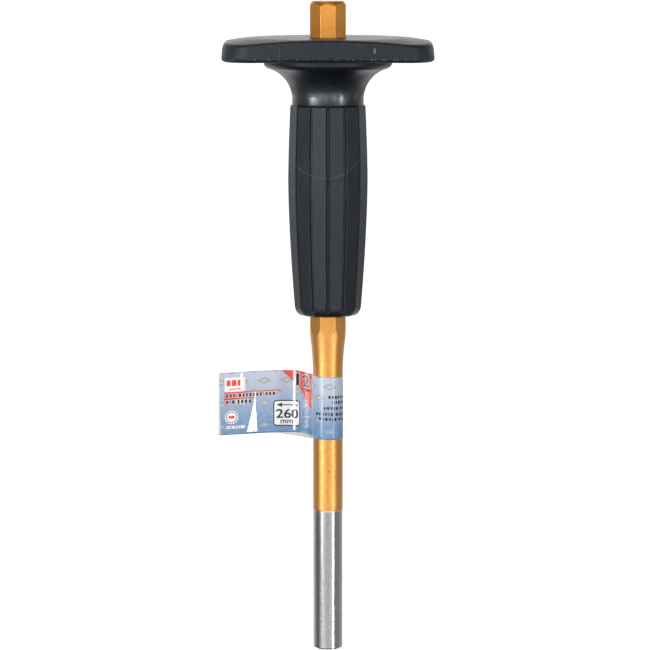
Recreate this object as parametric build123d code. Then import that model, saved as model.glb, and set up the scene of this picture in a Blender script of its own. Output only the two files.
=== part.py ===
from build123d import *
import math
import os

# Pin punch with a push-on hand guard and a film label.
# Frame: millimetres, origin at the centre of the flat tip face, +Z up the punch axis to the striking head.
# The front of the tool faces -Y and the label's flag points to -X.

# ---- punch --------------------------------------------------------------------------------------
PUNCH_LENGTH = 260.0
SHANK_ACROSS_FLATS = 14.2
SHANK_EDGE_ROUND = 0.35
HEAD_FACE_RADIUS = 6.25
HEAD_CONE_SLOPE = 0.75
STEM_RADIUS = 5.95
TIP_RADIUS = 5.85
TIP_CHAMFER = 0.5
LACQUER_EDGE_Z = 56.0
LACQUER_FEATHER = 0.8
TAPER_START_Z = 110.5
TAPER_END_Z = 130.3

# ---- hand guard ---------------------------------------------------------------------------------
BORE_CLEARANCE = 0.05
PLATE_WIDTH = 83.8
PLATE_DEPTH = 59.0
PLATE_SIDE_BULGE = 3.5
PLATE_CORNER_RADIUS = 11.0
PLATE_BOTTOM_Z = 236.7
PLATE_CROWN_Z = 245.7
# (distance from the axis, height) over the plate's domed top, from its flat middle to past its corners
PLATE_CROWN = [(26.0, PLATE_CROWN_Z), (33.0, 245.1), (40.0, 243.8), (52.0, 242.9)]
PLATE_TOP_ROUND = 1.2
PLATE_BOTTOM_ROUND = 1.5
COLLAR_RADIUS = 25.5
COLLAR_SHOULDER_Z = 235.1
COLLAR_LIP_RADIUS = 23.6
NECK_RADIUS = 14.2
NECK_Z = 221.0
FLARE_RADIUS = 12.85
GRIP_TOP_Z = 218.9
GRIP_BOTTOM_Z = 135.0
GRIP_PANELS = 14
GRIP_TOP_ROUND = 0.6
GRIP_BOTTOM_ROUND = 3.0
GROOVE_WIDTH = 1.5
GROOVE_DEPTH = 0.8
GROOVE_TOP_Z = 218.3
GROOVE_BOTTOM_Z = 137.4
# (distance of a panel from the axis, height) down the belly of the grip
GRIP_BELLY = [
    (14.9, GRIP_TOP_Z), (15.35, 208.0), (15.8, 190.0),
    (15.35, 172.0), (14.55, 154.5), (12.9, GRIP_BOTTOM_Z),
]

# ---- film label ---------------------------------------------------------------------------------
LABEL_HEIGHT = 25.3
LABEL_BOTTOM_Z = 85.4
FILM_THICKNESS = 0.3
# centre line of the flag in plan, from the stem to its free end
FLAG_LINE = [(-5.3, 3.0), (-8.5, 6.0), (-12.0, 9.3), (-18.0, 11.4), (-30.0, 9.4), (-44.3, 4.9)]

# ---- worked-out sizes ---------------------------------------------------------------------------
SHANK_APOTHEM = SHANK_ACROSS_FLATS / 2
SHANK_CORNER_RADIUS = SHANK_APOTHEM / math.cos(math.pi / 8)
TAPER_ARC_RADIUS = (TAPER_END_Z - TAPER_START_Z) ** 2 / (2 * (SHANK_CORNER_RADIUS - STEM_RADIUS))
PANEL_ANGLE = 360.0 / GRIP_PANELS
HEAD_CONE_HEIGHT = 5.0
OVERSIZE = 40.0


def octagonal_prism(apothem, bottom_z, top_z):
    """Prism on the punch axis with one of its eight flats square to -Y."""
    outline = RegularPolygon(apothem, 8, major_radius=False, rotation=22.5)
    return Pos(0, 0, bottom_z) * extrude(outline, top_z - bottom_z)


def turned(*edges):
    """Solid of revolution about the punch axis from edges drawn as (radius, height)."""
    return revolve(Plane.XZ * make_face(edges), Axis.Z)


def make_punch():
    """Octagonal bar trimmed by what a lathe leaves: head chamfer, hollow taper, stem and tip."""
    bar = octagonal_prism(SHANK_APOTHEM, 0, PUNCH_LENGTH)
    bar = fillet(bar.edges().filter_by(Axis.Z), SHANK_EDGE_ROUND)
    middle_z = (TAPER_START_Z + TAPER_END_Z) / 2
    middle_radius = STEM_RADIUS + (middle_z - TAPER_START_Z) ** 2 / (2 * TAPER_ARC_RADIUS)
    cone_radius = HEAD_FACE_RADIUS + HEAD_CONE_HEIGHT * HEAD_CONE_SLOPE
    lower = Polyline(
        (0, 0),
        (TIP_RADIUS - TIP_CHAMFER, 0),
        (TIP_RADIUS, TIP_CHAMFER),
        (TIP_RADIUS, LACQUER_EDGE_Z),
        (STEM_RADIUS, LACQUER_EDGE_Z + LACQUER_FEATHER),
        (STEM_RADIUS, TAPER_START_Z),
    )
    taper = ThreePointArc(
        (STEM_RADIUS, TAPER_START_Z), (middle_radius, middle_z), (SHANK_CORNER_RADIUS, TAPER_END_Z)
    )
    upper = Polyline(
        (SHANK_CORNER_RADIUS, TAPER_END_Z),
        (cone_radius, TAPER_END_Z),
        (cone_radius, PUNCH_LENGTH - HEAD_CONE_HEIGHT),
        (HEAD_FACE_RADIUS, PUNCH_LENGTH),
        (0, PUNCH_LENGTH),
        (0, 0),
    )
    return bar & turned(lower, taper, upper)


def plate_outline():
    """Plan of the guard plate: two bulged long sides, two flat short sides, four round corners."""
    half_width = PLATE_WIDTH / 2
    half_depth = PLATE_DEPTH / 2
    corner_y = half_depth - PLATE_SIDE_BULGE
    outline = make_face(
        [
            ThreePointArc((-half_width, -corner_y), (0, -half_depth), (half_width, -corner_y)),
            Line((half_width, -corner_y), (half_width, corner_y)),
            ThreePointArc((half_width, corner_y), (0, half_depth), (-half_width, corner_y)),
            Line((-half_width, corner_y), (-half_width, -corner_y)),
        ]
    )
    return fillet(outline.vertices(), PLATE_CORNER_RADIUS)


def make_plate():
    """Guard plate, flat below and domed on top, with the dome falling away towards the four corners."""
    crown_foot = PLATE_CROWN[-1]
    dome = turned(
        Line((0, PLATE_CROWN_Z), PLATE_CROWN[0]),
        Spline(*PLATE_CROWN, tangents=[(1, 0), (1, -0.05)]),
        Polyline(crown_foot, (crown_foot[0], PLATE_BOTTOM_Z), (0, PLATE_BOTTOM_Z), (0, PLATE_CROWN_Z)),
    )
    plate = dome & Pos(0, 0, PLATE_BOTTOM_Z) * extrude(plate_outline(), OVERSIZE)
    plate = fillet(plate.faces().sort_by(Axis.Z)[0].edges(), PLATE_BOTTOM_ROUND)
    walls = [face for face in plate.faces() if abs(face.normal_at().Z) < 0.1]
    top_rim = [
        edge
        for face in walls
        for edge in face.edges()
        if edge.center().Z > (PLATE_BOTTOM_Z + PLATE_CROWN_Z) / 2 and abs(edge.tangent_at(0.5).Z) < 0.5
    ]
    return fillet(top_rim, PLATE_TOP_ROUND)


def make_collar_and_neck():
    """Turned body between plate and grip: collar, trumpet flare and waist, running down inside the grip."""
    lip_z = NECK_Z + math.sqrt(FLARE_RADIUS**2 - (NECK_RADIUS + FLARE_RADIUS - COLLAR_LIP_RADIUS) ** 2)
    flare_angle = math.radians(45)
    flare_middle = (
        NECK_RADIUS + FLARE_RADIUS * (1 - math.cos(flare_angle)),
        NECK_Z + FLARE_RADIUS * math.sin(flare_angle),
    )
    hidden_z = GRIP_TOP_Z - 5
    return turned(
        Polyline(
            (0, PLATE_BOTTOM_Z + 2),
            (COLLAR_RADIUS, PLATE_BOTTOM_Z + 2),
            (COLLAR_RADIUS, COLLAR_SHOULDER_Z),
            (COLLAR_LIP_RADIUS, lip_z),
        ),
        ThreePointArc((COLLAR_LIP_RADIUS, lip_z), flare_middle, (NECK_RADIUS, NECK_Z)),
        Polyline((NECK_RADIUS, NECK_Z), (NECK_RADIUS, hidden_z), (0, hidden_z), (0, PLATE_BOTTOM_Z + 2)),
    )


def make_grip():
    """Fourteen-panel barrel: the common part of seven slabs with the same belly on both sides."""
    (top_x, top_z), (foot_x, foot_z) = GRIP_BELLY[0], GRIP_BELLY[-1]
    belly = Spline(*GRIP_BELLY)
    section = make_face(
        [
            belly,
            belly.mirror(Plane.YZ),
            Line((top_x, top_z), (-top_x, top_z)),
            Line((foot_x, foot_z), (-foot_x, foot_z)),
        ]
    )
    slab = extrude(Plane.XZ * section, OVERSIZE, both=True)
    grip = slab
    for panel in range(1, GRIP_PANELS // 2):
        grip &= Rot(0, 0, panel * PANEL_ANGLE) * slab
    grip = fillet(grip.faces().sort_by(Axis.Z)[-1].edges(), GRIP_TOP_ROUND)
    return fillet(grip.faces().sort_by(Axis.Z)[0].edges(), GRIP_BOTTOM_ROUND)


def make_grooves():
    """Round-ended slots along the panel joints, cut no deeper than a core that follows the belly."""
    length = GROOVE_TOP_Z - GROOVE_BOTTOM_Z
    middle_z = (GROOVE_TOP_Z + GROOVE_BOTTOM_Z) / 2
    slot = extrude(Plane.XZ * SlotOverall(length, GROOVE_WIDTH, rotation=90), OVERSIZE)
    corner_gain = 1 / math.cos(math.pi / GRIP_PANELS)
    core_line = [(distance * corner_gain - GROOVE_DEPTH, height) for distance, height in GRIP_BELLY]
    core = turned(
        Spline(*core_line),
        Polyline(core_line[-1], (0, GRIP_BOTTOM_Z), (0, GRIP_TOP_Z), core_line[0]),
    )
    cutter = Pos(0, 0, middle_z) * slot - core
    return [Rot(0, 0, groove * PANEL_ANGLE) * cutter for groove in range(GRIP_PANELS)]


def make_hand_guard():
    """One moulding with an octagonal bore that slides on the shank."""
    bore = octagonal_prism(SHANK_APOTHEM + BORE_CLEARANCE, GRIP_BOTTOM_Z - 1, PLATE_CROWN_Z + 1)
    return make_plate() + make_collar_and_neck() + make_grip() - make_grooves() - bore


def make_flag_label():
    """Film strip: one turn round the stem and a curved flag standing off to the left."""
    stem = Circle(STEM_RADIUS)
    band = Circle(STEM_RADIUS + FILM_THICKNESS) - stem
    flag = trace(Spline(*FLAG_LINE), FILM_THICKNESS) - stem
    return Pos(0, 0, LABEL_BOTTOM_Z) * extrude(band + flag, LABEL_HEIGHT)


os.makedirs("parts", exist_ok=True)
export_step(make_punch(), "parts/punch.step")
export_step(make_hand_guard(), "parts/hand_guard.step")
export_step(make_flag_label(), "parts/flag_label.step")
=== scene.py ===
"""Looks of a pin punch with a hand guard and a film label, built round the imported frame."""
import math

import bmesh
import bpy
import numpy as np
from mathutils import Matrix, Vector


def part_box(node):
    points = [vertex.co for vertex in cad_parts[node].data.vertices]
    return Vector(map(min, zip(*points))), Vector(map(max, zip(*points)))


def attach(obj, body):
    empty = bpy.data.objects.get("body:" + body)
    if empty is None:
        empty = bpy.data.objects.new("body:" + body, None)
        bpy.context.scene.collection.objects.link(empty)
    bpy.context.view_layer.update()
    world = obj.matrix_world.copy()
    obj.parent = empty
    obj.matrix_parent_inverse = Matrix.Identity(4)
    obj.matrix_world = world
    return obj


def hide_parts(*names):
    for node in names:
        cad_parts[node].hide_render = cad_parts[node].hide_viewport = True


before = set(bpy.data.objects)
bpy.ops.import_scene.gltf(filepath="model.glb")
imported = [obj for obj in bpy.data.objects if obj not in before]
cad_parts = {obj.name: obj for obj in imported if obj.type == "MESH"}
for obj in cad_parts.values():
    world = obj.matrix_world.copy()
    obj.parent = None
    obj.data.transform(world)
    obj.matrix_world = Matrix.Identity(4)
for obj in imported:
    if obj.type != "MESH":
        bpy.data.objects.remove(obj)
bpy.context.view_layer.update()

MM = 0.001
SCENE = bpy.context.scene

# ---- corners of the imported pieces' boxes, in millimetres -----------------------------------------
GUARD_LOW, GUARD_HIGH = (np.round(np.array(corner) / MM, 2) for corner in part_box("hand_guard"))
LABEL_LOW, LABEL_HIGH = (np.array(corner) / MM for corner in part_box("flag_label"))


def smooth(value):
    """Smooth step from 0 to 1 for a value from 0 to 1."""
    value = np.clip(value, 0.0, 1.0)
    return value * value * (3.0 - 2.0 * value)


# ---- camera: places in metres, sensor in millimetres ---------------------------------------------
CAMERA_DISTANCE = 1.489
CAMERA_HEIGHT = 0.305
CAMERA_SIDE = -0.00116
CAMERA_PITCH = math.radians(6.67)
# the lens sees a width of 13/75 of the distance
SENSOR = 36.0
VIEW_WIDTH_PER_DISTANCE = 13 / 75


def make_camera():
    """Long lens a little above the middle of the tool, looking slightly down on it."""
    data = bpy.data.cameras.new("camera")
    data.sensor_width = SENSOR
    data.lens = SENSOR / VIEW_WIDTH_PER_DISTANCE
    data.clip_start = 0.05
    data.clip_end = 50.0
    camera = bpy.data.objects.new("camera", data)
    camera.location = (CAMERA_SIDE, -CAMERA_DISTANCE, CAMERA_HEIGHT)
    camera.rotation_euler = (math.pi / 2 - CAMERA_PITCH, 0.0, 0.0)
    SCENE.collection.objects.link(camera)
    SCENE.camera = camera


def make_mesh(name, vertices, faces):
    """New smooth-shaded mesh object from vertices in millimetres."""
    mesh = bpy.data.meshes.new(name)
    mesh.from_pydata([tuple(v) for v in np.asarray(vertices) * MM], [], faces)
    mesh.update()
    for polygon in mesh.polygons:
        polygon.use_smooth = True
    thing = bpy.data.objects.new(name, mesh)
    SCENE.collection.objects.link(thing)
    return thing


# ---- hand guard ----------------------------------------------------------------------------------
# plate: plan outline, underside and crowned top
PLATE_HALF_WIDTH = GUARD_HIGH[0]
PLATE_HALF_DEPTH = GUARD_HIGH[1]
PLATE_BULGE = 3.5
PLATE_CORNER = 11.0
PLATE_BOTTOM = 236.5
PLATE_ARCH = 0.5
PLATE_CROWN = GUARD_HIGH[2]
CROWN_FLAT_RADIUS = 25.0
CROWN_FALL = 3.2
CROWN_REACH = 13.0
CROWN_STRETCH = 0.85
# plate: rounded edges and the wall's draft
TOP_ROUND = 1.0
TOP_ROUND_AT_ENDS = 2.6
BOTTOM_ROUND = 1.7
WALL_DRAFT = 0.3
# octagonal bore and the rounding of its top edge
BORE_APOTHEM = 7.15
BORE_ROUND = 0.5
# collar under the plate and flared neck
COLLAR_RADIUS = 25.5
COLLAR_FILLET = 0.5
COLLAR_SHOULDER = 235.1
COLLAR_LIP_RADIUS = 23.6
FLARE_RADIUS = 12.85
NECK_RADIUS = 14.2
NECK_Z = 221.0
# barrel-shaped grip with flat panels and a groove between every two
PANELS = 14
GRIP_TOP = 218.9
GRIP_BOTTOM = GUARD_LOW[2]
GRIP_WIDEST_Z = 190.0
GRIP_WIDEST = 15.8
GRIP_TOP_ROUND = 0.6
GRIP_BOTTOM_ROUND = (3.1, 3.9)
GROOVE_HALF_WIDTH = 0.66
GROOVE_DEPTH = 1.1
GROOVE_TOP = 218.3
GROOVE_BOTTOM = 137.4


def guard_columns():
    """Column angles round the axis, from the front groove, crowded at each groove's edges."""
    # distances from a groove's middle on the widest part of the grip
    from_groove = np.array([0.25, 0.42, 0.54, 0.66, 0.78, 0.92, 1.15, 1.6, 2.2, 2.85]) / GRIP_WIDEST
    half = math.pi / PANELS
    one = np.concatenate([[0.0], from_groove, [half], 2 * half - from_groove[::-1]])
    return np.concatenate([one + 2 * half * panel for panel in range(PANELS)])


ANGLES = guard_columns()
# each column's angle from the nearest groove and from the middle of its panel
GROOVE_OFFSET = (ANGLES + math.pi / PANELS) % (2 * math.pi / PANELS) - math.pi / PANELS
PANEL_OFFSET = ANGLES % (2 * math.pi / PANELS) - math.pi / PANELS
# each column's direction in plan: angle 0 is the front, which faces -Y
TO_RIGHT, TO_BACK = np.sin(ANGLES), -np.cos(ANGLES)


def plate_radius(inset):
    """Distance from the axis to the plate's plan outline, moved in by inset, at each column."""
    low, high = np.zeros_like(ANGLES), np.full_like(ANGLES, 80.0)
    for _ in range(40):
        middle = (low + high) / 2
        x = np.abs(middle * TO_RIGHT)
        bulge = PLATE_BULGE * (x / PLATE_HALF_WIDTH) ** 2
        y = np.abs(middle * TO_BACK) + bulge
        side = x - (PLATE_HALF_WIDTH - inset - PLATE_CORNER)
        front = y - (PLATE_HALF_DEPTH - inset - PLATE_CORNER)
        past_corner = np.hypot(np.maximum(side, 0), np.maximum(front, 0))
        distance = past_corner + np.minimum(np.maximum(side, front), 0)
        inside = distance < PLATE_CORNER
        low = np.where(inside, middle, low)
        high = np.where(inside, high, middle)
    return (low + high) / 2


def octagon_radius(apothem):
    """Distance from the axis to an octagon with a flat to the front, at each column."""
    offset = (ANGLES + math.pi / 8) % (math.pi / 4) - math.pi / 8
    return apothem / np.cos(offset)


def ring(radius, height):
    """One ring of the guard's mesh."""
    radius = np.broadcast_to(radius, ANGLES.shape)
    height = np.broadcast_to(height, ANGLES.shape)
    return np.stack([radius * TO_RIGHT, radius * TO_BACK, height], axis=1)


def crown_height(radius):
    """Height of the plate's top at a distance from the axis, at each column."""
    outside = np.maximum(np.hypot(CROWN_STRETCH * radius * TO_RIGHT, radius * TO_BACK) - CROWN_FLAT_RADIUS, 0)
    return PLATE_CROWN - CROWN_FALL * (1 - np.exp(-((outside / CROWN_REACH) ** 2)))


def under_height(radius):
    """Height of the plate's underside at a distance from the axis, at each column."""
    x = np.abs(radius * TO_RIGHT)
    return PLATE_BOTTOM + PLATE_ARCH * (1 - smooth(x / PLATE_HALF_WIDTH))


def belly(height):
    """Distance of the grip's flat panels from the axis at a height."""
    above = np.maximum(height - GRIP_WIDEST_Z, 0) / (GRIP_TOP - GRIP_WIDEST_Z)
    below = np.maximum(GRIP_WIDEST_Z - height, 0) / (GRIP_WIDEST_Z - GRIP_BOTTOM)
    return GRIP_WIDEST - 0.9 * above**1.42 - 2.9 * below**1.62


def grip_radius(height):
    """Distance from the axis to the ribbed grip at a height, at each column."""
    flat = belly(height) / np.cos(PANEL_OFFSET)
    across = np.abs(GROOVE_OFFSET) * belly(height)
    past_end = max(height - (GROOVE_TOP - GROOVE_HALF_WIDTH), GROOVE_BOTTOM + GROOVE_HALF_WIDTH - height, 0.0)
    from_middle = np.hypot(across, past_end)
    depth = GROOVE_DEPTH * np.sqrt(np.maximum(1 - (from_middle / GROOVE_HALF_WIDTH) ** 2, 0))
    return flat - depth


def top_edge_round():
    """Rounding of the plate's top edge at each column, larger towards the plate's two ends."""
    outwards = np.abs(plate_radius(0.0) * TO_RIGHT) / PLATE_HALF_WIDTH
    return TOP_ROUND + (TOP_ROUND_AT_ENDS - TOP_ROUND) * outwards**4


def plate_top_rings(bore):
    """From the bore's rounded top edge out over the crown to the plate's edge."""
    edge = plate_radius(top_edge_round() + WALL_DRAFT)
    rings = []
    for turn in np.linspace(0, math.pi / 2, 4):
        radius = bore + BORE_ROUND * (1 - math.cos(turn))
        rings.append(ring(radius, crown_height(radius) - BORE_ROUND * (1 - math.sin(turn))))
    for step in np.linspace(0, 1, 26)[1:]:
        radius = (bore + BORE_ROUND) * (1 - step) + edge * step
        rings.append(ring(radius, crown_height(radius)))
    return rings


def plate_wall_rings():
    """Round the plate's top edge, down its wall and round its bottom edge."""
    top_round = top_edge_round()
    edge_top = crown_height(plate_radius(top_round + WALL_DRAFT))
    rings = []
    for turn in np.linspace(0, math.pi / 2, 8)[1:]:
        radius = plate_radius(WALL_DRAFT + top_round * (1 - math.sin(turn)))
        rings.append(ring(radius, edge_top - top_round * (1 - math.cos(turn))))
    wall_top = edge_top - top_round
    wall_foot = under_height(plate_radius(BOTTOM_ROUND)) + BOTTOM_ROUND
    for step in np.linspace(0, 1, 6)[1:]:
        height = wall_top * (1 - step) + wall_foot * step
        rings.append(ring(plate_radius(WALL_DRAFT * (1 - step)), height))
    for turn in np.linspace(0, math.pi / 2, 6)[1:]:
        radius = plate_radius(BOTTOM_ROUND * (1 - math.cos(turn)))
        rings.append(ring(radius, wall_foot - BOTTOM_ROUND * math.sin(turn)))
    return rings


def plate_underside_rings():
    """In along the plate's underside to the collar and round the fillet down to it."""
    rim = plate_radius(BOTTOM_ROUND)
    rings = []
    for step in np.linspace(0, 1, 8)[1:]:
        radius = rim * (1 - step) + (COLLAR_RADIUS + COLLAR_FILLET) * step
        rings.append(ring(radius, under_height(radius)))
    collar_top = under_height(np.full_like(ANGLES, COLLAR_RADIUS + COLLAR_FILLET))
    for turn in np.linspace(0, math.pi / 2, 4)[1:]:
        radius = COLLAR_RADIUS + COLLAR_FILLET * (1 - math.sin(turn))
        rings.append(ring(radius, collar_top - COLLAR_FILLET * (1 - math.cos(turn))))
    return rings


def neck_rings():
    """Down the round collar, its shoulder, the flare's arc and the neck to the top of the grip."""
    centre = NECK_RADIUS + FLARE_RADIUS
    lip_z = NECK_Z + math.sqrt(FLARE_RADIUS**2 - (centre - COLLAR_LIP_RADIUS) ** 2)
    profile = [
        (COLLAR_RADIUS, COLLAR_SHOULDER + 0.2),
        (COLLAR_RADIUS - 0.05, COLLAR_SHOULDER),
        (COLLAR_RADIUS - 0.25, COLLAR_SHOULDER - 0.45),
        (COLLAR_RADIUS - 0.65, COLLAR_SHOULDER - 0.95),
        (COLLAR_RADIUS - 1.2, lip_z + 0.3),
        (COLLAR_LIP_RADIUS, lip_z),
    ]
    start = math.asin((lip_z - NECK_Z) / FLARE_RADIUS)
    for turn in np.linspace(start, 0, 22)[1:]:
        profile.append((centre - FLARE_RADIUS * math.cos(turn), NECK_Z + FLARE_RADIUS * math.sin(turn)))
    profile += [(NECK_RADIUS, 220.2), (NECK_RADIUS, 219.4), (NECK_RADIUS + 0.03, GRIP_TOP + 0.1)]
    return [ring(radius, height) for radius, height in profile]


def grip_rings():
    """Out over the grip's rounded top, down the ribbed panels and round the lower end."""
    rings = []
    for turn in np.linspace(0, math.pi / 2, 6):
        height = GRIP_TOP - GRIP_TOP_ROUND * (1 - math.cos(turn))
        radius = grip_radius(height) - GRIP_TOP_ROUND * (1 - math.sin(turn))
        rings.append(ring(np.maximum(radius, NECK_RADIUS + 0.05), height))
    # closely spaced at the grooves' two ends, widely between them
    heights = np.concatenate([
        np.arange(218.1, 216.4, -0.2), np.linspace(216.3, 140.2, 64), np.arange(140.0, 138.95, -0.2),
    ])
    rings += [ring(grip_radius(height), height) for height in heights]
    round_in, round_up = GRIP_BOTTOM_ROUND
    for turn in np.linspace(0, math.pi / 2, 16):
        height = GRIP_BOTTOM + round_up * (1 - math.sin(turn))
        rings.append(ring(grip_radius(height) - round_in * (1 - math.cos(turn)), height))
    return rings


def bore_rings(bore):
    """In along the grip's lower end, round the bore's lower edge and up the bore."""
    outer = grip_radius(GRIP_BOTTOM) - GRIP_BOTTOM_ROUND[0]
    rings = [ring(outer * (1 - step) + (bore + 0.4) * step, GRIP_BOTTOM) for step in (0.35, 0.7, 1.0)]
    rings.append(ring(bore + 0.12, GRIP_BOTTOM + 0.12))
    rings.append(ring(bore, GRIP_BOTTOM + 0.4))
    return rings + [ring(bore, height) for height in np.linspace(GRIP_BOTTOM + 5, PLATE_CROWN - 5, 8)]


def make_guard():
    """The guard's skin: one closed grid of rings over the plate, down the neck and grip and up the bore."""
    bore = octagon_radius(BORE_APOTHEM)
    rings = plate_top_rings(bore) + plate_wall_rings() + plate_underside_rings()
    rings += neck_rings() + grip_rings() + bore_rings(bore)
    columns, rows = len(ANGLES), len(rings)
    faces = []
    for row in range(rows):
        below = (row + 1) % rows
        for column in range(columns):
            right = (column + 1) % columns
            faces.append((
                row * columns + column, below * columns + column,
                below * columns + right, row * columns + right,
            ))
    guard = make_mesh("guard_moulding", np.concatenate(rings), faces)
    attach(guard, "guard")
    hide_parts("hand_guard")
    return guard


# ---- film label ----------------------------------------------------------------------------------
FILM_THICKNESS = 0.12
FILM_HEIGHT = 25.3
STEM_RADIUS = 5.95
TURN_RADIUS = STEM_RADIUS + 0.03 + FILM_THICKNESS / 2
# distance from the middle of the flag's front layer to the middle of its back layer
LAYER_STEP = 0.17
LABEL_MIDDLE = (LABEL_LOW[2] + LABEL_HIGH[2]) / 2
# plan of the flag's front layer, from its free end to where it meets the stem
FLAG_PLAN = [
    (-43.9, 5.1), (-37.0, 7.3), (-30.0, 9.5), (-23.0, 11.4), (-16.1, 12.0),
    (-12.5, 10.9), (-10.4, 8.6), (-8.6, 5.2), (-7.0, 2.6),
]
# plan of the back layer from where it leaves the stem to where it meets the front layer
JOIN_PLAN = [(-4.6, 5.3), (-7.1, 5.75)]
# the back layer joins behind this point of FLAG_PLAN and ends this far past the free end
JOIN_AT = 6
BACK_OVERHANG = (-0.35, -0.1)
# the turn round the stem, in degrees
TURN_FROM, TURN_TO, TURN_STEP = 170, 470, 20
# (distance along the strip, height of its middle line above the label's middle); the last entry lies
# past the strip's end
SAG = [
    (0, 0.1), (13.4, 0.35), (26, 0.55), (33, 0.5), (43.6, 0.3),
    (81.6, -1.0), (91, -0.75), (98, 0.3), (136, 0.0),
]


def curve_through(points, spacing=0.1):
    """Smooth curve through plan points, as points about spacing apart."""
    points = np.array(points, float)
    gaps = np.sqrt(np.linalg.norm(np.diff(points, axis=0), axis=1))
    time = np.concatenate([[0], np.cumsum(gaps)])
    slope = np.empty_like(points)
    slope[1:-1] = (points[2:] - points[:-2]) / (time[2:] - time[:-2])[:, None]
    slope[0] = (points[1] - points[0]) / gaps[0]
    slope[-1] = (points[-1] - points[-2]) / gaps[-1]
    pieces = []
    for i, gap in enumerate(gaps):
        count = max(2, int(gap**2 / spacing))
        s = np.linspace(0, 1, count, endpoint=False)[:, None]
        pieces.append(
            (2 * s**3 - 3 * s**2 + 1) * points[i]
            + (s**3 - 2 * s**2 + s) * gap * slope[i]
            + (3 * s**2 - 2 * s**3) * points[i + 1]
            + (s**3 - s**2) * gap * slope[i + 1]
        )
    return np.concatenate(pieces + [points[-1:]])


def film_line():
    """Plan of the whole strip: front layer, once round the stem, then the layer on the front one's back."""
    turn = [
        (TURN_RADIUS * math.cos(math.radians(angle)), TURN_RADIUS * math.sin(math.radians(angle)))
        for angle in range(TURN_FROM, TURN_TO, TURN_STEP)
    ]
    front = np.array(FLAG_PLAN)
    along = np.gradient(front, axis=0)
    along /= np.linalg.norm(along, axis=1)[:, None]
    behind = front + LAYER_STEP * np.stack([-along[:, 1], along[:, 0]], axis=1)
    behind[0] += BACK_OVERHANG
    return curve_through(FLAG_PLAN + turn + JOIN_PLAN + [tuple(point) for point in behind[JOIN_AT::-1]])


# the strip's plan, how far along it each point is, and the way it faces there
LINE = film_line()
LINE_AT = np.concatenate([[0], np.cumsum(np.linalg.norm(np.diff(LINE, axis=0), axis=1))])
LINE_OUT = np.gradient(LINE, axis=0)
LINE_OUT = np.stack([LINE_OUT[:, 1], -LINE_OUT[:, 0]], axis=1) / np.linalg.norm(LINE_OUT, axis=1)[:, None]
FILM_LENGTH = LINE_AT[-1]
# how far a straight crease that faces FACET_TURN to the right falls away from the strip's own curve
FACET_TURN = math.radians(22.5)
FACET_SLOPE = np.tan(np.clip(FACET_TURN - np.arctan2(LINE_OUT[:, 0], -LINE_OUT[:, 1]), -0.2, 0.2))
FACET_FALL = np.concatenate([[0], np.cumsum(FACET_SLOPE[1:] * np.diff(LINE_AT))])


def fold(u, start, peak, end):
    """Height of a fold that rises slowly from start to peak and falls as a flat facet to end."""
    fallen = np.interp(end, LINE_AT, FACET_FALL) - np.interp(np.clip(u, peak, end), LINE_AT, FACET_FALL)
    return fallen * smooth((u - start) / np.maximum(peak - start, 1e-6))


def ridge(value, middle, width):
    """Rounded ridge of height 1 about a middle value."""
    return np.exp(-(((value - middle) / width) ** 2))


def ripple(u, v):
    """How far the film bulges outwards at a place on the strip: two flat folds and three small ridges."""
    down = np.clip((5.5 - v) / 18.0, 0, 1)
    lower = fold(u, 3.0, 15.1 - 4.1 * down**1.4, 15.4 + 1.1 * down)
    upper = fold(u, 2.0, 8.8, 10.4) * smooth((v - 4.5) / 3.0)
    crease = 0.10 * ridge(u, 41.2, 0.5) * smooth((2.0 - v) / 6.0)
    pinch = 0.08 * ridge(u, 38.0, 0.5) * ridge(v, -3.5, 4.0)
    stem = 0.07 * ridge(u, 52.0, 0.45) * smooth((-4.0 - v) / 3.0)
    return lower + upper + crease + pinch + stem


def wrap(flat):
    """Places on the tool, in millimetres, of (along, up, off the film's middle) places on the flat strip."""
    u, v, off = np.asarray(flat, float).T
    stations, heights = zip(*SAG)
    grid = np.linspace(0, FILM_LENGTH, 280)
    padded = np.pad(np.interp(grid, stations, heights), 8, mode="edge")
    eased = np.convolve(padded, np.ones(17) / 17, mode="valid")
    off = off + ripple(u, v)
    x = np.interp(u, LINE_AT, LINE[:, 0]) + off * np.interp(u, LINE_AT, LINE_OUT[:, 0])
    y = np.interp(u, LINE_AT, LINE[:, 1]) + off * np.interp(u, LINE_AT, LINE_OUT[:, 1])
    return np.stack([x, y, LABEL_MIDDLE + np.interp(u, grid, eased) + v], axis=1)


def sheet_faces(rows, columns):
    """Faces of a closed sheet made of an outer and an inner grid, and whether each shows the bare film."""
    inner = rows * columns
    faces, bare = [], []
    for row in range(rows - 1):
        for column in range(columns - 1):
            a = row * columns + column
            b, c, d = a + 1, a + columns + 1, a + columns
            faces += [(a, b, c, d), (inner + d, inner + c, inner + b, inner + a)]
            bare += [0, 1]
    rim = list(range(columns))
    rim += [row * columns + columns - 1 for row in range(1, rows)]
    rim += [(rows - 1) * columns + column for column in range(columns - 2, -1, -1)]
    rim += [row * columns for row in range(rows - 2, 0, -1)]
    for a, b in zip(rim, rim[1:] + rim[:1]):
        faces.append((a, inner + a, inner + b, b))
        bare.append(1)
    return faces, bare


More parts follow.
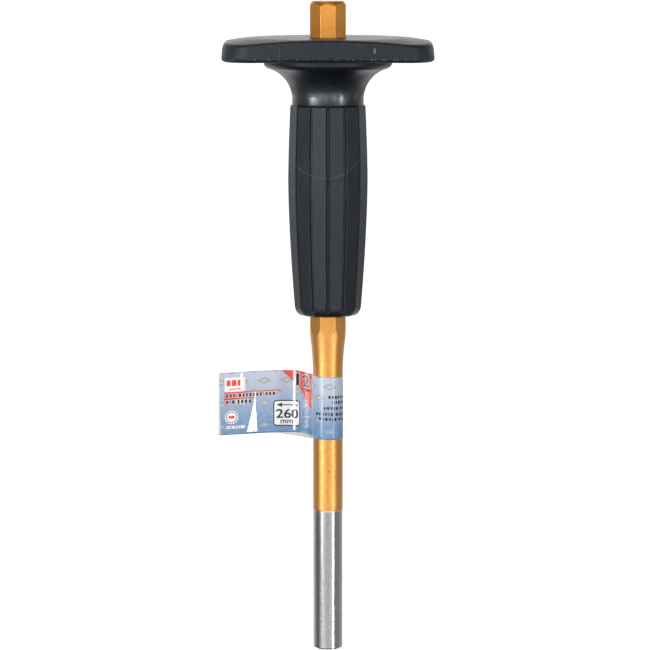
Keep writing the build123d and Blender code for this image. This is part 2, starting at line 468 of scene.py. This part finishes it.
def make_film():
    """The film strip as a thin closed sheet, printed face outwards, cut a little askew at both ends."""
    across = np.linspace(-FILM_HEIGHT / 2, FILM_HEIGHT / 2, 30)
    along = np.concatenate([np.arange(0, 20, 0.35), np.arange(20, FILM_LENGTH - 0.25, 0.5), [FILM_LENGTH]])
    u, v = np.meshgrid(along, across)
    tilt = 0.5 - v / FILM_HEIGHT
    u = u + 0.75 * tilt * np.clip(1 - u / 12, 0, 1) ** 2
    u = u - 0.5 * (1 - tilt) * np.clip(1 - (FILM_LENGTH - u) / 12, 0, 1) ** 2
    sides = [np.stack([u, v, np.full_like(u, side * FILM_THICKNESS / 2)], axis=-1) for side in (1, -1)]
    flat = np.stack(sides).reshape(-1, 3)
    faces, bare = sheet_faces(*u.shape)
    film = make_mesh("label_strip", wrap(flat), faces)
    film.data.polygons.foreach_set("material_index", bare)
    place = film.data.attributes.new("flat", "FLOAT_VECTOR", "POINT")
    place.data.foreach_set("vector", flat.ravel())
    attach(film, "punch")
    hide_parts("flag_label")
    return film


# ---- what is printed on the film, drawn flat in millimetres --------------------------------------
# an ink's thickness, the first ink's height over the film, and the step from one ink to the next
INK_THICKNESS = 0.008
INK_LIFT = 0.02
INK_LAYER = 0.012
# usual gap between two of the bars that stand for words
BAR_GAP = 0.55


def outline(points):
    """Closed outline as a flat filled curve."""
    curve = bpy.data.curves.new("ink", "CURVE")
    curve.dimensions = "2D"
    curve.fill_mode = "BOTH"
    line = curve.splines.new("POLY")
    line.points.add(len(points) - 1)
    for point, (x, y) in zip(line.points, points):
        point.co = (x, y, 0, 1)
    line.use_cyclic_u = True
    return curve


def box(left, bottom, width, height, corner=0.0):
    """Outline of a box, with round corners if corner isn't 0."""
    right, top = left + width, bottom + height
    if not corner:
        return outline([(left, bottom), (right, bottom), (right, top), (left, top)])
    points = []
    centres = [(right - corner, bottom + corner), (right - corner, top - corner)]
    centres += [(left + corner, top - corner), (left + corner, bottom + corner)]
    for quarter, (x, y) in enumerate(centres):
        for step in range(7):
            turn = math.pi / 2 * (quarter - 1 + step / 6)
            points.append((x + corner * math.cos(turn), y + corner * math.sin(turn)))
    return outline(points)


def disc(x, y, radius):
    """Outline of a disc."""
    turns = np.arange(0, 2 * math.pi, math.pi / 20)
    return outline([(x + radius * math.cos(turn), y + radius * math.sin(turn)) for turn in turns])


def lettering(body, left, bottom, width, height, weight):
    """Digits or a unit as a curve, with what flat_ink needs to fit it into a box."""
    curve = bpy.data.curves.new("ink", "FONT")
    curve.body = body
    curve.fill_mode = "BOTH"
    curve.offset = weight
    thing = bpy.data.objects.new("ink", curve)
    SCENE.collection.objects.link(thing)
    bpy.context.view_layer.update()
    corners = np.array(thing.bound_box)
    bpy.data.objects.remove(thing)
    low, high = corners.min(axis=0), corners.max(axis=0)
    return curve, (width / (high[0] - low[0]), height / (high[1] - low[1]), left, bottom, low)


def bars(left, bottom, height, widths, gap=BAR_GAP):
    """Row of small bars in place of words; a width of 0 leaves a wider gap."""
    shapes = []
    for width in widths:
        if width:
            shapes.append(box(left, bottom, width, height, 0.1))
        left += width + gap
    return shapes


def flat_ink(shapes):
    """One flat mesh of all the shapes, with each piece of lettering fitted into its box."""
    whole = bmesh.new()
    for shape in shapes:
        curve, fit = shape if isinstance(shape, tuple) else (shape, None)
        thing = bpy.data.objects.new("ink", curve)
        SCENE.collection.objects.link(thing)
        bpy.context.view_layer.update()
        mesh = bpy.data.meshes.new_from_object(thing.evaluated_get(bpy.context.evaluated_depsgraph_get()))
        bpy.data.objects.remove(thing)
        if fit:
            scale_x, scale_y, left, bottom, low = fit
            for vertex in mesh.vertices:
                x, y, _ = vertex.co
                vertex.co = (left + (x - low[0]) * scale_x, bottom + (y - low[1]) * scale_y, 0)
        whole.from_mesh(mesh)
        bpy.data.meshes.remove(mesh)
        bpy.data.curves.remove(curve)
    for vertex in whole.verts:
        vertex.co.z = 0
    bmesh.ops.remove_doubles(whole, verts=whole.verts, dist=1e-4)
    return whole


def cut_up(whole, places, axis):
    """Cut a flat mesh across at each place on an axis."""
    for place in places:
        geometry = whole.verts[:] + whole.edges[:] + whole.faces[:]
        on_cut = tuple(place * part for part in axis)
        bmesh.ops.bisect_plane(whole, geom=geometry, plane_co=on_cut, plane_no=axis, dist=1e-5)


def thicken(whole):
    """Turn a flat mesh into a closed slab as thick as the ink, with its upper face outwards."""
    bmesh.ops.recalc_face_normals(whole, faces=whole.faces)
    if sum(face.normal.z * face.calc_area() for face in whole.faces) < 0:
        bmesh.ops.reverse_faces(whole, faces=whole.faces)
    top = bmesh.ops.extrude_face_region(whole, geom=whole.faces[:])
    for vertex in top["geom"]:
        if isinstance(vertex, bmesh.types.BMVert):
            vertex.co.z = INK_THICKNESS
    bmesh.ops.recalc_face_normals(whole, faces=whole.faces)


def print_ink(name, layer, shapes, material):
    """One ink: its flat shapes as thin slabs, cut fine enough to bend, and wrapped on to the film."""
    whole = flat_ink(shapes)
    along = [vertex.co.x for vertex in whole.verts]
    cut_up(whole, np.arange(math.floor(min(along) * 2) / 2 + 0.5, max(along), 0.5), (1, 0, 0))
    cut_up(whole, np.arange(-12, 12.5, 1.5), (0, 1, 0))
    thicken(whole)
    lift = FILM_THICKNESS / 2 + INK_LIFT + layer * INK_LAYER
    flat = np.array([vertex.co for vertex in whole.verts]) + (0, 0, lift)
    for vertex, place in zip(whole.verts, wrap(flat) * MM):
        vertex.co = place
    mesh = bpy.data.meshes.new(name)
    whole.to_mesh(mesh)
    whole.free()
    thing = bpy.data.objects.new(name, mesh)
    SCENE.collection.objects.link(thing)
    mesh.materials.append(material)
    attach(thing, "punch")


# ---- materials -----------------------------------------------------------------------------------
class Shade:
    """One material, with short ways to add nodes to it."""

    def __init__(self, name):
        self.material = bpy.data.materials.new(name)
        self.material.use_nodes = True
        self.tree = self.material.node_tree
        self.shader = self.tree.nodes["Principled BSDF"]

    def put(self, socket, value):
        """Set a socket to a constant, or link another socket to it."""
        if isinstance(value, bpy.types.NodeSocket):
            self.tree.links.new(value, socket)
        elif isinstance(value, tuple) and len(value) == 3 and len(socket.default_value) == 4:
            socket.default_value = (*value, 1)
        else:
            socket.default_value = value

    def finish(self, **sockets):
        """Set the shader's own sockets, named with _ for a space."""
        for name, value in sockets.items():
            self.put(self.shader.inputs[name.replace("_", " ")], value)

    def math(self, operation, *values):
        """Result of one arithmetic operation."""
        node = self.tree.nodes.new("ShaderNodeMath")
        node.operation = operation
        for socket, value in zip(node.inputs, values):
            self.put(socket, value)
        return node.outputs[0]

    def step(self, value, low, high, to_low=0.0, to_high=1.0):
        """Smooth step of a value between two limits."""
        node = self.tree.nodes.new("ShaderNodeMapRange")
        node.interpolation_type = "SMOOTHSTEP"
        for socket, entry in zip(node.inputs, (value, low, high, to_low, to_high)):
            self.put(socket, entry)
        return node.outputs[0]

    def mix(self, share, first, second):
        """Colour between two colours; a share of 1 is all of the second."""
        node = self.tree.nodes.new("ShaderNodeMix")
        node.data_type = "RGBA"
        self.put(node.inputs[0], share)
        self.put(node.inputs[6], first)
        self.put(node.inputs[7], second)
        return node.outputs[2]

    def mix_value(self, share, first, second):
        """Number between two numbers; a share of 1 is all of the second."""
        node = self.tree.nodes.new("ShaderNodeMix")
        for socket, value in zip(node.inputs, (share, None, first, second)):
            if value is not None:
                self.put(socket, value)
        return node.outputs[0]

    def place(self):
        """The piece's own coordinates in millimetres: the vector, then x, y and z."""
        source = self.tree.nodes.new("ShaderNodeTexCoord").outputs["Object"]
        return self.vector(source, 1 / MM)

    def attribute(self, name):
        """A vector stored in the mesh: the vector, then its three parts."""
        node = self.tree.nodes.new("ShaderNodeAttribute")
        node.attribute_name = name
        return self.vector(node.outputs["Vector"], 1.0)

    def vector(self, source, factor):
        """A vector times a factor, then its three parts."""
        scale = self.tree.nodes.new("ShaderNodeVectorMath")
        scale.operation = "SCALE"
        self.put(scale.inputs[0], source)
        scale.inputs["Scale"].default_value = factor
        parts = self.tree.nodes.new("ShaderNodeSeparateXYZ")
        self.put(parts.inputs[0], scale.outputs[0])
        return scale.outputs[0], *parts.outputs

    def stretched(self, vector, x, y, z):
        """A vector with each part times its own factor."""
        node = self.tree.nodes.new("ShaderNodeVectorMath")
        node.operation = "MULTIPLY"
        self.put(node.inputs[0], vector)
        node.inputs[1].default_value = (x, y, z)
        return node.outputs[0]

    def joined(self, x, y, z):
        """A vector made of three numbers."""
        node = self.tree.nodes.new("ShaderNodeCombineXYZ")
        for socket, value in zip(node.inputs, (x, y, z)):
            self.put(socket, value)
        return node.outputs[0]

    def noise(self, vector, scale, detail=2.0, roughness=0.5):
        """Noise about 0.5 with features about 1/scale wide."""
        node = self.tree.nodes.new("ShaderNodeTexNoise")
        self.put(node.inputs["Vector"], vector)
        node.inputs["Scale"].default_value = scale
        node.inputs["Detail"].default_value = detail
        node.inputs["Roughness"].default_value = roughness
        return node.outputs[0]

    def cells(self, vector, scale):
        """Distance to the nearest of scattered points."""
        node = self.tree.nodes.new("ShaderNodeTexVoronoi")
        self.put(node.inputs["Vector"], vector)
        node.inputs["Scale"].default_value = scale
        return node.outputs["Distance"]

    def sum(self, *values):
        """All the values added up."""
        total = values[0]
        for value in values[1:]:
            total = self.math("ADD", total, value)
        return total

    def product(self, *values):
        """All the values multiplied together."""
        total = values[0]
        for value in values[1:]:
            total = self.math("MULTIPLY", total, value)
        return total

    def difference(self, first, second):
        """The first value less the second."""
        return self.math("SUBTRACT", first, second)

    def away(self, x, y, centre):
        """Distance from a centre in the plane of two values."""
        across = self.difference(x, centre[0])
        up = self.difference(y, centre[1])
        return self.math("SQRT", self.sum(self.product(across, across), self.product(up, up)))

    def spot(self, x, y, centre, radius, softness):
        """1 inside a round spot, fading to 0 past its edge."""
        return self.step(self.away(x, y, centre), radius + softness, radius - softness)

    def strip(self, value, middle, half, softness):
        """1 in a band about a middle value, fading to 0 past its edges."""
        away = self.math("ABSOLUTE", self.difference(value, middle))
        return self.step(away, half + softness, half - softness)

    def bump(self, height, distance_mm):
        """Fine relief of the surface, distance_mm high where height is 1."""
        node = self.tree.nodes.new("ShaderNodeBump")
        node.inputs["Strength"].default_value = 1.0
        node.inputs["Distance"].default_value = distance_mm * MM
        self.put(node.inputs["Height"], height)
        self.put(self.shader.inputs["Normal"], node.outputs[0])


# height of the lacquer's lower edge
LACQUER_EDGE = 56.4
# dark pits in the lacquer on the front, as (x, z)
PITS = [(0.44, 72.4), (2.84, 70.3), (-2.76, 66.6), (-2.8, 256.3)]
PIT_COLOR = (0.08, 0.05, 0.03)


def gold_color(s, place, z, mottle, fine):
    """Gold lacquer, mottled and speckled, and deeper in colour towards the head."""
    broad = s.noise(s.stretched(place, 1.0, 1.0, 0.35), 0.16, 3.0, 0.6)
    gold = s.mix(s.step(broad, 0.35, 0.65), (0.81, 0.365, 0.062), (0.88, 0.43, 0.095))
    gold = s.mix(s.step(mottle, 0.42, 0.72, 0.0, 0.75), gold, (0.76, 0.28, 0.033))
    gold = s.mix(s.step(fine, 0.52, 0.72, 0.0, 0.55), gold, (0.93, 0.50, 0.15))
    return s.mix(s.step(z, 240.0, 250.0, 0.0, 0.55), gold, (0.84, 0.33, 0.035))


def lacquer_pits(s, place, x, y, z):
    """How dark a pit there is: a few scattered faint ones, and those in PITS."""
    scattered = s.step(s.cells(place, 0.33), 0.16, 0.10)
    pits = s.product(scattered, s.step(s.noise(place, 0.12, 1.0), 0.50, 0.60), 0.5)
    front = s.step(y, -2.0, -3.0)
    for pit in PITS:
        pits = s.math("MAXIMUM", pits, s.product(s.spot(x, z, pit, 0.24, 0.16), front))
    return pits


def punch_finish():
    """Gold lacquer over forged steel, with a bare ground steel tip."""
    s = Shade("lacquered_steel")
    place, x, y, z = s.place()
    # the lacquer's edge wanders a little up and down and is thicker just above itself
    edge = s.product(s.difference(s.noise(s.stretched(place, 1.0, 1.0, 0.0), 0.35, 2.0), 0.5), 0.9)
    height = s.difference(z, edge)
    lacquer = s.step(height, LACQUER_EDGE - 0.25, LACQUER_EDGE + 0.25)
    thick = s.product(s.step(height, LACQUER_EDGE + 2.2, LACQUER_EDGE + 0.3), lacquer)
    mottle = s.noise(s.stretched(place, 1.0, 1.0, 0.6), 0.9, 3.0, 0.6)
    fine = s.noise(place, 3.6, 3.0, 0.65)
    gold = gold_color(s, place, z, mottle, fine)
    gold = s.mix(s.product(thick, 0.35), gold, (0.62, 0.33, 0.09))
    pits = lacquer_pits(s, place, x, y, z)
    gold = s.mix(s.product(pits, 0.85), gold, PIT_COLOR)
    speckle = s.noise(place, 2.6, 3.0, 0.7)
    streak = s.noise(s.stretched(place, 2.2, 2.2, 0.05), 1.0, 3.0, 0.6)
    steel = s.mix(s.step(speckle, 0.35, 0.65), (0.58, 0.575, 0.59), (0.90, 0.895, 0.905))
    steel = s.mix(s.step(streak, 0.50, 0.72, 0.0, 0.30), steel, (0.34, 0.335, 0.35))
    steel_roughness = s.step(speckle, 0.3, 0.7, 0.12, 0.18)
    gold_roughness = s.step(mottle, 0.3, 0.8, 0.36, 0.46)
    s.finish(
        Base_Color=s.mix(lacquer, steel, gold),
        Metallic=1.0,
        Roughness=s.mix_value(lacquer, steel_roughness, gold_roughness),
        Coat_Weight=s.product(lacquer, s.step(z, 205.0, 250.0, 0.5, 0.3)),
        Coat_Roughness=0.32,
        Coat_IOR=1.85,
    )
    ground = s.product(s.difference(1.0, lacquer), s.sum(speckle, streak), 0.7)
    skin = s.product(lacquer, s.sum(s.product(mottle, 0.8), s.product(fine, 0.5)), 2.0)
    s.bump(s.sum(ground, skin, s.product(pits, -2.0)), 0.012)
    return s.material


# faint arc on the grip's front: its centre as (x, z), and its radius
WITNESS_CENTRE = (-1.1, 207.65)
WITNESS_RADIUS = 16.87
# height of the mould's parting line on the plate's wall
PARTING_Z = 238.0
# nick in the plate's front wall, as (x, z)
NICK_AT = (18.2, 241.5)
# height of the middle of the band on the neck that handling has polished
POLISHED_Z = 222.2


def plate_marks(s, place, x, y, z):
    """Scuffs, a nick and a row of specks along the parting line on the plate's front wall."""
    scuff = s.step(s.noise(s.stretched(place, 1.6, 1.6, 0.25), 1.0, 3.0, 0.7), 0.56, 0.72)
    scuffed = s.sum(s.strip(x, -20.0, 4.5, 2.0), s.product(s.strip(x, 6.0, 9.0, 5.0), 0.35))
    scuff = s.product(scuff, s.step(z, 236.0, 237.0), scuffed)
    nick = s.product(s.strip(x, NICK_AT[0], 0.35, 0.25), s.strip(z, NICK_AT[1], 0.9, 0.5))
    specks = s.step(s.cells(s.stretched(place, 1.0, 1.0, 0.2), 1.3), 0.42, 0.20)
    specks = s.product(specks, s.strip(z, PARTING_Z, 0.28, 0.2))
    marks = s.sum(s.product(scuff, 0.30), s.product(nick, 0.55), s.product(specks, 0.45))
    return s.product(marks, s.step(y, -20.0, -22.0))


def witness_arc(s, x, y, z):
    """The faint arc, only on the grip's front and well below the arc's centre."""
    arc = s.strip(s.away(x, z, WITNESS_CENTRE), WITNESS_RADIUS, 0.12, 0.22)
    return s.product(arc, s.step(z, 199.0, 194.0), s.step(y, -6.0, -8.0))


def guard_finish():
    """Satin black moulded rubber with handling marks, dust, and light grit specks that are partly painted
    glints.
    """
    s = Shade("guard_rubber")
    place, x, y, z = s.place()
    cloud = s.noise(place, 0.07, 4.0, 0.6)
    smear = s.noise(s.stretched(place, 1.0, 1.0, 0.3), 0.45, 4.0, 0.65)
    grain = s.noise(place, 1.7, 4.0, 0.7)
    color = s.mix(s.step(cloud, 0.35, 0.70), (0.0030, 0.0040, 0.0064), (0.0060, 0.0076, 0.0112))
    dust = s.product(s.step(s.cells(place, 0.42), 0.10, 0.05), s.step(s.noise(place, 0.3, 1.0), 0.52, 0.62))
    color = s.mix(s.product(dust, 0.35), color, (0.22, 0.24, 0.27))
    # light grey specks, denser towards the grip's lower end: partly real grit, partly painted glints standing
    # in for the rubber's sparkle
    grit_and_painted_glints = s.product(s.step(grain, 0.60, 0.74), s.step(z, 200.0, 165.0, 0.25, 1.0))
    color = s.mix(s.product(grit_and_painted_glints, 0.30), color, (0.13, 0.14, 0.17))
    marks = s.math("MAXIMUM", plate_marks(s, place, x, y, z), s.product(witness_arc(s, x, y, z), 0.16))
    color = s.mix(marks, color, (0.26, 0.28, 0.32))
    satin = s.step(s.sum(s.product(smear, 0.6), s.product(cloud, 0.4)), 0.3, 0.7, 0.30, 0.40)
    neck = s.product(s.step(z, 218.5, 219.5), s.step(z, 236.5, 234.5))
    wall = s.product(s.step(z, 235.8, 236.6), s.step(z, 244.2, 243.2))
    polished = s.product(s.step(smear, 0.30, 0.60), s.strip(z, POLISHED_Z, 1.2, 2.0))
    s.finish(
        Base_Color=color,
        Roughness=s.sum(satin, s.product(polished, -0.14), s.product(wall, 0.14)),
        Specular_IOR_Level=0.50,
        Specular_Tint=(0.80, 0.90, 1.0),
        Coat_Weight=polished,
        Coat_Roughness=0.26,
        Coat_IOR=2.3,
    )
    rough = s.sum(grain, s.product(smear, 0.7))
    s.bump(s.product(rough, s.difference(1.0, s.product(neck, 0.75))), 0.13)
    return s.material


# lozenges of the film's tread-plate pattern: spacing, place of one and half size, along and up
TREAD_PITCH = (9.15, 9.05)
TREAD_AT = (19.2, -0.4)
TREAD_SIZE = (3.1, 1.35)


def lozenges(s, u, v, shift):
    """Distance from the nearest lozenge's middle, 1 at its edge; shift moves them all by part of a step."""
    parts = []
    for value, pitch, start, size in zip((u, v), TREAD_PITCH, TREAD_AT, TREAD_SIZE):
        steps = s.math("DIVIDE", s.difference(value, start + pitch * shift), pitch)
        from_middle = s.product(s.difference(s.math("FRACT", steps), 0.5), pitch)
        parts.append(s.math("DIVIDE", s.math("ABSOLUTE", from_middle), size))
    return s.sum(*parts)


def film_finish():
    """Glossy film printed with a blue fade and a faint tread-plate pattern, duller round the stem."""
    s = Shade("printed_film")
    _, u, v, _ = s.attribute("flat")
    near = s.math("MINIMUM", lozenges(s, u, v, 0.5), lozenges(s, u, v, 0.0))
    turned = s.product(s.step(u, 45.0, 46.5), s.step(u, 70.0, 66.0))
    height = s.step(v, -FILM_HEIGHT / 2, FILM_HEIGHT / 2)
    fade = s.mix(height, (0.115, 0.26, 0.465), (0.52, 0.57, 0.68))
    ink = s.noise(s.joined(u, v, 0.0), 0.5, 3.0)
    fade = s.mix(s.step(ink, 0.3, 0.8, 0.0, 0.25), fade, (0.42, 0.55, 0.78))
    tread = s.mix(s.step(near, 0.25, 0.75), (0.62, 0.57, 0.55), (0.33, 0.34, 0.38))
    share = s.product(s.step(near, 1.08, 0.88), s.step(v, -12.0, 10.0, 0.45, 0.85))
    s.finish(
        Base_Color=s.mix(share, fade, tread),
        Roughness=s.sum(s.step(ink, 0.3, 0.8, 0.08, 0.13), s.product(turned, 0.2)),
        IOR=1.5,
        Coat_Weight=s.difference(1.0, s.product(turned, 0.75)),
        Coat_Roughness=0.05,
        Coat_IOR=1.7,
    )
    return s.material


def bare_film_finish():
    """The film's unprinted side and cut edges."""
    s = Shade("bare_film")
    _, u, v, _ = s.attribute("flat")
    tone = s.noise(s.joined(u, v, 0.0), 0.6, 3.0)
    s.finish(
        Base_Color=s.mix(tone, (0.62, 0.60, 0.57), (0.78, 0.77, 0.75)),
        Roughness=s.step(tone, 0.3, 0.7, 0.3, 0.45),
    )
    return s.material


def ink_finish(name, color, worn):
    """Printed ink under the same gloss as the film."""
    s = Shade(name)
    place, *_ = s.place()
    tone = s.noise(place, 0.8, 3.0)
    s.finish(
        Base_Color=s.mix(s.step(tone, 0.4, 0.8, 0.0, 0.5), color, worn),
        Roughness=s.step(tone, 0.3, 0.8, 0.08, 0.13),
        IOR=1.5,
        Coat_Weight=1.0,
        Coat_Roughness=0.05,
        Coat_IOR=1.7,
    )
    return s.material


# the two rows of bars in place of the title, as (left, bottom, widths)
TITLE = [
    (3.0, 2.4, [0.9, 1.0, 0.8, 0.4, 1.1, 0.9, 0.8, 1.0, 0.9, 0.9, 0.9, 0.4, 0.9, 0.9, 1.0]),
    (3.0, -0.15, [1.0, 0.4, 1.1, 0.0, 1.0, 1.0, 1.1, 1.0]),
]
TITLE_HEIGHT = 1.5
TITLE_RIM = 0.15
# the five rows of bars in place of the address, as (left, bottom, number of bars)
ADDRESS = [(55.2, 4.0, 9), (56.7, 1.9, 7), (52.0, -0.5, 13), (49.8, -2.9, 15), (51.3, -4.9, 14)]
ADDRESS_BARS = [0.95, 0.6, 1.0, 0.7, 0.4, 0.9, 0.0] * 3
# middle of the round mark
SEAL_X, SEAL_Y = 5.3, -5.6


def white_shapes():
    """Box under the emblem, disc under the round mark and a small bar."""
    return [box(2.4, 4.75, 8.7, 5.8, 0.8), disc(SEAL_X, SEAL_Y, 2.75), box(3.0, -10.2, 7.6, 1.1, 0.3)]


def red_shapes():
    """Lines and wedge behind the title, corner flash, and the plain bars of the emblem and the round mark."""
    title_back = [box(2.4, 4.25, 23.2, 0.4), outline([(2.4, 4.3), (12.6, 4.3), (2.5, -0.95)])]
    title_back.append(box(2.4, 1.75, 13.4, 0.55))
    flash = outline([(26.0, 12.55), (43.7, 12.55), (43.5, -1.9)])
    emblem = bars(3.3, 7.1, 2.4, [1.6, 1.9, 1.7]) + [box(4.4, 5.6, 4.8, 0.4, 0.2)]
    return title_back + [flash] + emblem + [box(4.0, -6.1, 2.6, 1.1, 0.4)]


def dark_shapes():
    """Frame round the length mark, the round mark's ring of dots, and bars in place of small words."""
    shapes = [box(22.8, -10.1, 11.5, 10.55, 1.3)]
    shapes += bars(3.2, -9.9, 0.5, [0.5, 0.3, 0.6, 0.0, 0.5, 0.6, 0.4], 0.5)
    for turn in np.arange(0, 2 * math.pi, math.pi / 9):
        shapes.append(disc(SEAL_X + 2.15 * math.cos(turn), SEAL_Y + 2.15 * math.sin(turn), 0.26))
    for left, bottom, count in ADDRESS:
        shapes += bars(left, bottom, 1.1, ADDRESS_BARS[:count])
    return shapes


def panel_shapes():
    """White rims of the title's bars and of the diameter mark, and the length mark's white inside."""
    shapes = []
    for left, bottom, widths in TITLE:
        rims = [width and width + 2 * TITLE_RIM for width in widths]
        height = TITLE_HEIGHT + 2 * TITLE_RIM
        shapes += bars(left - TITLE_RIM, bottom - TITLE_RIM, height, rims, BAR_GAP - 2 * TITLE_RIM)
    return shapes + [box(23.25, -9.65, 10.6, 9.65, 0.95), lettering("12", 31.9, 6.35, 10.8, 5.5, 0.055)]


def figure_shapes():
    """The title's bars, and the size marks: an arrow, a length and a diameter."""
    shapes = []
    for left, bottom, widths in TITLE:
        shapes += bars(left, bottom, TITLE_HEIGHT, widths)
    shapes.append(outline([
        (23.9, -1.5), (26.4, -0.65), (26.4, -1.3), (33.2, -1.3), (33.2, -1.7), (26.4, -1.7), (26.4, -2.35),
    ]))
    # drawn twice, a little apart, which makes the strokes bold
    shapes += [lettering("260", left, -6.9, 9.3, 3.7, 0.012) for left in (23.8, 24.0)]
    shapes.append(lettering("mm", 25.7, -9.1, 5.1, 1.5, 0.02))
    shapes.append(lettering("12", 32.3, 6.65, 10.0, 4.9, 0.028))
    shapes.append(lettering("mm", 38.9, 5.0, 3.8, 0.9, 0.01))
    return shapes


def make_print():
    """Everything printed on the film. Names and words are plain bars; only the size marks are figures."""
    white_ink = ink_finish("white_ink", (0.90, 0.90, 0.93), (0.82, 0.83, 0.88))
    red_ink = ink_finish("red_ink", (0.83, 0.045, 0.012), (0.88, 0.11, 0.03))
    dark_ink = ink_finish("dark_ink", (0.012, 0.013, 0.018), (0.04, 0.04, 0.05))
    print_ink("print_white", 0, white_shapes(), white_ink)
    print_ink("print_red", 1, red_shapes(), red_ink)
    print_ink("print_dark", 2, dark_shapes(), dark_ink)
    print_ink("print_panel", 3, panel_shapes(), white_ink)
    print_ink("print_figures", 4, figure_shapes(), dark_ink)


# ---- light and floor -----------------------------------------------------------------------------
def strip_light(name, azimuth, distance, width, height, middle, radiance):
    """Upright soft box facing the tool; azimuth 0 is in front, positive to the right."""
    data = bpy.data.lights.new(name, "AREA")
    data.shape = "RECTANGLE"
    data.size, data.size_y = width, height
    data.energy = radiance * 4 * width * height
    lamp = bpy.data.objects.new(name, data)
    angle = math.radians(azimuth)
    lamp.location = (distance * math.sin(angle), -distance * math.cos(angle), middle)
    lamp.rotation_euler = (math.pi / 2, 0, angle)
    SCENE.collection.objects.link(lamp)


# (part of a turn from the front, positive to the right, brightness)
AROUND = [
    (-0.5, 0.80), (-0.36, 0.76), (-0.31, 0.28), (-0.22, 0.12), (-0.10, 1.02), (-0.03, 0.66),
    (0.03, 0.66), (0.09, 0.96), (0.14, 0.24), (0.28, 0.30), (0.36, 0.50), (0.5, 0.80),
]
# (half of how far the direction points up, brightness)
ABOVE = [
    (-0.5, 0.06), (-0.40, 0.12), (-0.24, 1.4), (-0.10, 0.58), (-0.012, 0.50),
    (0.004, 2.1), (0.09, 1.6), (0.18, 0.5), (0.5, 0.45),
]
WORLD_STRENGTH = 1.3


def make_world():
    """Studio surroundings: pale in front and behind, dark at the sides, and brightest at eye level."""
    world = bpy.data.worlds.new("studio")
    SCENE.world = world
    world.use_nodes = True
    tree = world.node_tree
    direction = tree.nodes.new("ShaderNodeTexCoord").outputs["Generated"]
    parts = tree.nodes.new("ShaderNodeSeparateXYZ")
    tree.links.new(direction, parts.inputs[0])

    def ramp(source, span, stops):
        """Brightness by a value that runs from -span / 2 to span / 2; the stops are shares of span."""
        node = tree.nodes.new("ShaderNodeValToRGB")
        shift = tree.nodes.new("ShaderNodeMath")
        shift.operation = "MULTIPLY_ADD"
        shift.inputs[1].default_value = 1 / span
        shift.inputs[2].default_value = 0.5
        tree.links.new(source, shift.inputs[0])
        tree.links.new(shift.outputs[0], node.inputs[0])
        while len(node.color_ramp.elements) < len(stops):
            node.color_ramp.elements.new(0.5)
        for element, (value, grey) in zip(node.color_ramp.elements, stops):
            element.position = value + 0.5
            element.color = (grey, grey, grey, 1)
        return node.outputs[0]

    turned = tree.nodes.new("ShaderNodeMath")
    turned.operation = "ARCTAN2"
    tree.links.new(parts.outputs[0], turned.inputs[0])
    front = tree.nodes.new("ShaderNodeMath")
    front.operation = "MULTIPLY"
    front.inputs[1].default_value = -1.0
    tree.links.new(parts.outputs[1], front.inputs[0])
    tree.links.new(front.outputs[0], turned.inputs[1])
    round_about = ramp(turned.outputs[0], 2 * math.pi, AROUND)
    upright = ramp(parts.outputs[2], 2.0, ABOVE)
    product = tree.nodes.new("ShaderNodeMix")
    product.data_type = "RGBA"
    product.blend_type = "MULTIPLY"
    product.inputs[0].default_value = 1.0
    tree.links.new(round_about, product.inputs[6])
    tree.links.new(upright, product.inputs[7])
    tree.links.new(product.outputs[2], tree.nodes["Background"].inputs[0])
    tree.nodes["Background"].inputs[1].default_value = WORLD_STRENGTH


def make_floor():
    """Large plain pale floor. It fills the view behind the tool and throws no light back on it."""
    side, front, back = 40000, -20000, 60000
    corners = [(-side, front, 0), (side, front, 0), (side, back, 0), (-side, back, 0)]
    floor = make_mesh("floor", corners, [(0, 1, 2, 3)])
    s = Shade("pale_floor")
    s.finish(Base_Color=(0.8, 0.8, 0.8), Roughness=0.9, Emission_Color=(1, 1, 1), Emission_Strength=0.75)
    floor.data.materials.append(s.material)
    floor.visible_diffuse = False
    floor.visible_glossy = False
    floor.visible_shadow = False


make_camera()
guard = make_guard()
guard.data.materials.append(guard_finish())
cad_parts["punch"].data.materials[0] = punch_finish()
film = make_film()
film.data.materials.append(film_finish())
film.data.materials.append(bare_film_finish())
make_print()
make_world()
strip_light("left_box", -47, 1.2, 0.32, 1.15, 0.47, 5.2)
strip_light("right_box", 44, 1.2, 0.10, 1.4, 0.30, 7.5)
make_floor()
SCENE.view_settings.view_transform = "Standard"
